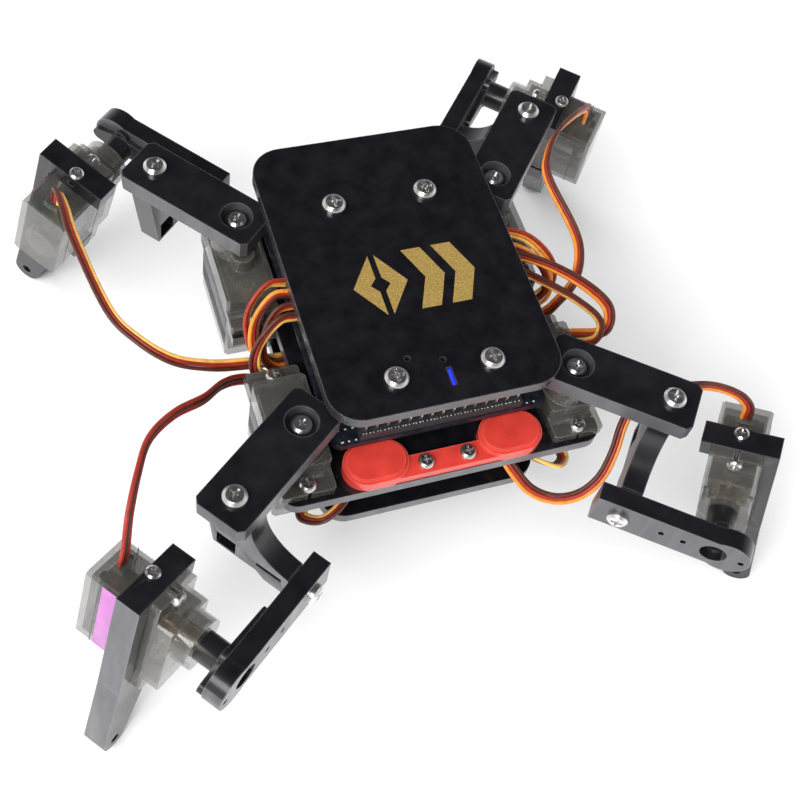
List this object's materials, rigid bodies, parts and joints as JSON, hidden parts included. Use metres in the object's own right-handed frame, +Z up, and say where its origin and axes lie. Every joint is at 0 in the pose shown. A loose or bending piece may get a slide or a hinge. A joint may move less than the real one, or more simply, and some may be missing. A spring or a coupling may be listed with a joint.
{
  "type": "quadruped robot dog",
  "caption": "Four-legged crawling robot: black plates, micro servos at every hip and knee, gold-marked cover and red front bracket.",
  "frame": {"origin": "middle of the lower deck's underside, between the four belly bolt holes; the feet reach below it", "axes": "+Z up, +Y towards the tail, +X towards the robot's left, so the red bracket faces -Y"},
  "size_m": [0.1764, 0.1573, 0.0751],
  "materials": {
    "black_plate": "gloss",
    "servo_plastic": "gloss",
    "works_metal": "satin",
    "horn_plastic": "satin",
    "screw_steel": "polished",
    "spacer_brass": "satin",
    "board_green": "satin",
    "chip_black": "matt",
    "plug_black": "satin",
    "battery_wrap": "satin",
    "bracket_red": "gloss",
    "lead_ribbon": "satin"
  },
  "bodies": {
    "body": {"lower_deck": "black_plate", "upper_deck": "black_plate", "deck_spacers": "spacer_brass", "deck_screws": "screw_steel", "battery": "battery_wrap", "control_board": "board_green", "board_parts": "chip_black", "pin_headers": "works_metal", "lead_plugs": "plug_black", "board_standoffs": "spacer_brass", "top_cover": "black_plate", "cover_screws": "screw_steel", "eye_bracket": "bracket_red", "eye_screws": "screw_steel", "hip_servo_cases": "servo_plastic", "hip_servo_works": "works_metal", "hip_servo_screws": "screw_steel", "hip_leads_left": "lead_ribbon", "hip_leads_right": "lead_ribbon", "knee_lead_front_right": "lead_ribbon", "knee_lead_front_left": "lead_ribbon", "knee_lead_rear_left": "lead_ribbon", "knee_lead_rear_right": "lead_ribbon"},
    "upper_leg_front_right": {"coxa_plate_front_right": "black_plate", "coxa_arm_front_right": "black_plate", "femur_bar_front_right": "black_plate", "horns_front_right": "horn_plastic", "leg_screws_front_right": "screw_steel"},
    "lower_leg_front_right": {"knee_servo_case_front_right": "servo_plastic", "knee_servo_works_front_right": "works_metal", "foot_front_right": "black_plate", "foot_screws_front_right": "screw_steel"},
    "upper_leg_front_left": {"coxa_plate_front_left": "black_plate", "coxa_arm_front_left": "black_plate", "femur_bar_front_left": "black_plate", "horns_front_left": "horn_plastic", "leg_screws_front_left": "screw_steel"},
    "lower_leg_front_left": {"knee_servo_case_front_left": "servo_plastic", "knee_servo_works_front_left": "works_metal", "foot_front_left": "black_plate", "foot_screws_front_left": "screw_steel"},
    "upper_leg_rear_left": {"coxa_plate_rear_left": "black_plate", "coxa_arm_rear_left": "black_plate", "femur_bar_rear_left": "black_plate", "horns_rear_left": "horn_plastic", "leg_screws_rear_left": "screw_steel"},
    "lower_leg_rear_left": {"knee_servo_case_rear_left": "servo_plastic", "knee_servo_works_rear_left": "works_metal", "foot_rear_left": "black_plate", "foot_screws_rear_left": "screw_steel"},
    "upper_leg_rear_right": {"coxa_plate_rear_right": "black_plate", "coxa_arm_rear_right": "black_plate", "femur_bar_rear_right": "black_plate", "horns_rear_right": "horn_plastic", "leg_screws_rear_right": "screw_steel"},
    "lower_leg_rear_right": {"knee_servo_case_rear_right": "servo_plastic", "knee_servo_works_rear_right": "works_metal", "foot_rear_right": "black_plate", "foot_screws_rear_right": "screw_steel"}
  },
  "joints": [
    {"name": "hip_front_right", "type": "hinge", "parent": "body", "child": "upper_leg_front_right", "pos_m": [-0.032, -0.0275, 0.028], "axis": [0, 0, 1], "range_deg": [-40, 45], "deforming": ["knee_lead_front_right"]},
    {"name": "knee_front_right", "type": "hinge", "parent": "upper_leg_front_right", "child": "lower_leg_front_right", "pos_m": [-0.06715, -0.05447, 0.0134], "axis": [-0.6088, 0.7934, 0], "range_deg": [-45, 75], "deforming": ["knee_lead_front_right"]},
    {"name": "hip_front_left", "type": "hinge", "parent": "body", "child": "upper_leg_front_left", "pos_m": [0.032, -0.0275, 0.028], "axis": [0, 0, -1], "range_deg": [-40, 45], "deforming": ["knee_lead_front_left"]},
    {"name": "knee_front_left", "type": "hinge", "parent": "upper_leg_front_left", "child": "lower_leg_front_left", "pos_m": [0.06715, -0.05447, 0.0134], "axis": [-0.6088, -0.7934, 0], "range_deg": [-45, 75], "deforming": ["knee_lead_front_left"]},
    {"name": "hip_rear_left", "type": "hinge", "parent": "body", "child": "upper_leg_rear_left", "pos_m": [0.032, 0.0275, 0.028], "axis": [0, 0, 1], "range_deg": [-50, 35], "deforming": ["knee_lead_rear_left"]},
    {"name": "knee_rear_left", "type": "hinge", "parent": "upper_leg_rear_left", "child": "lower_leg_rear_left", "pos_m": [0.06135, 0.06068, 0.0134], "axis": [0.749, -0.6626, 0], "range_deg": [-45, 75], "deforming": ["knee_lead_rear_left"]},
    {"name": "hip_rear_right", "type": "hinge", "parent": "body", "child": "upper_leg_rear_right", "pos_m": [-0.032, 0.0275, 0.028], "axis": [0, 0, -1], "range_deg": [-50, 35], "deforming": ["knee_lead_rear_right"]},
    {"name": "knee_rear_right", "type": "hinge", "parent": "upper_leg_rear_right", "child": "lower_leg_rear_right", "pos_m": [-0.06135, 0.06068, 0.0134], "axis": [0.749, 0.6626, 0], "range_deg": [-45, 75], "deforming": ["knee_lead_rear_right"]}
  ]
}
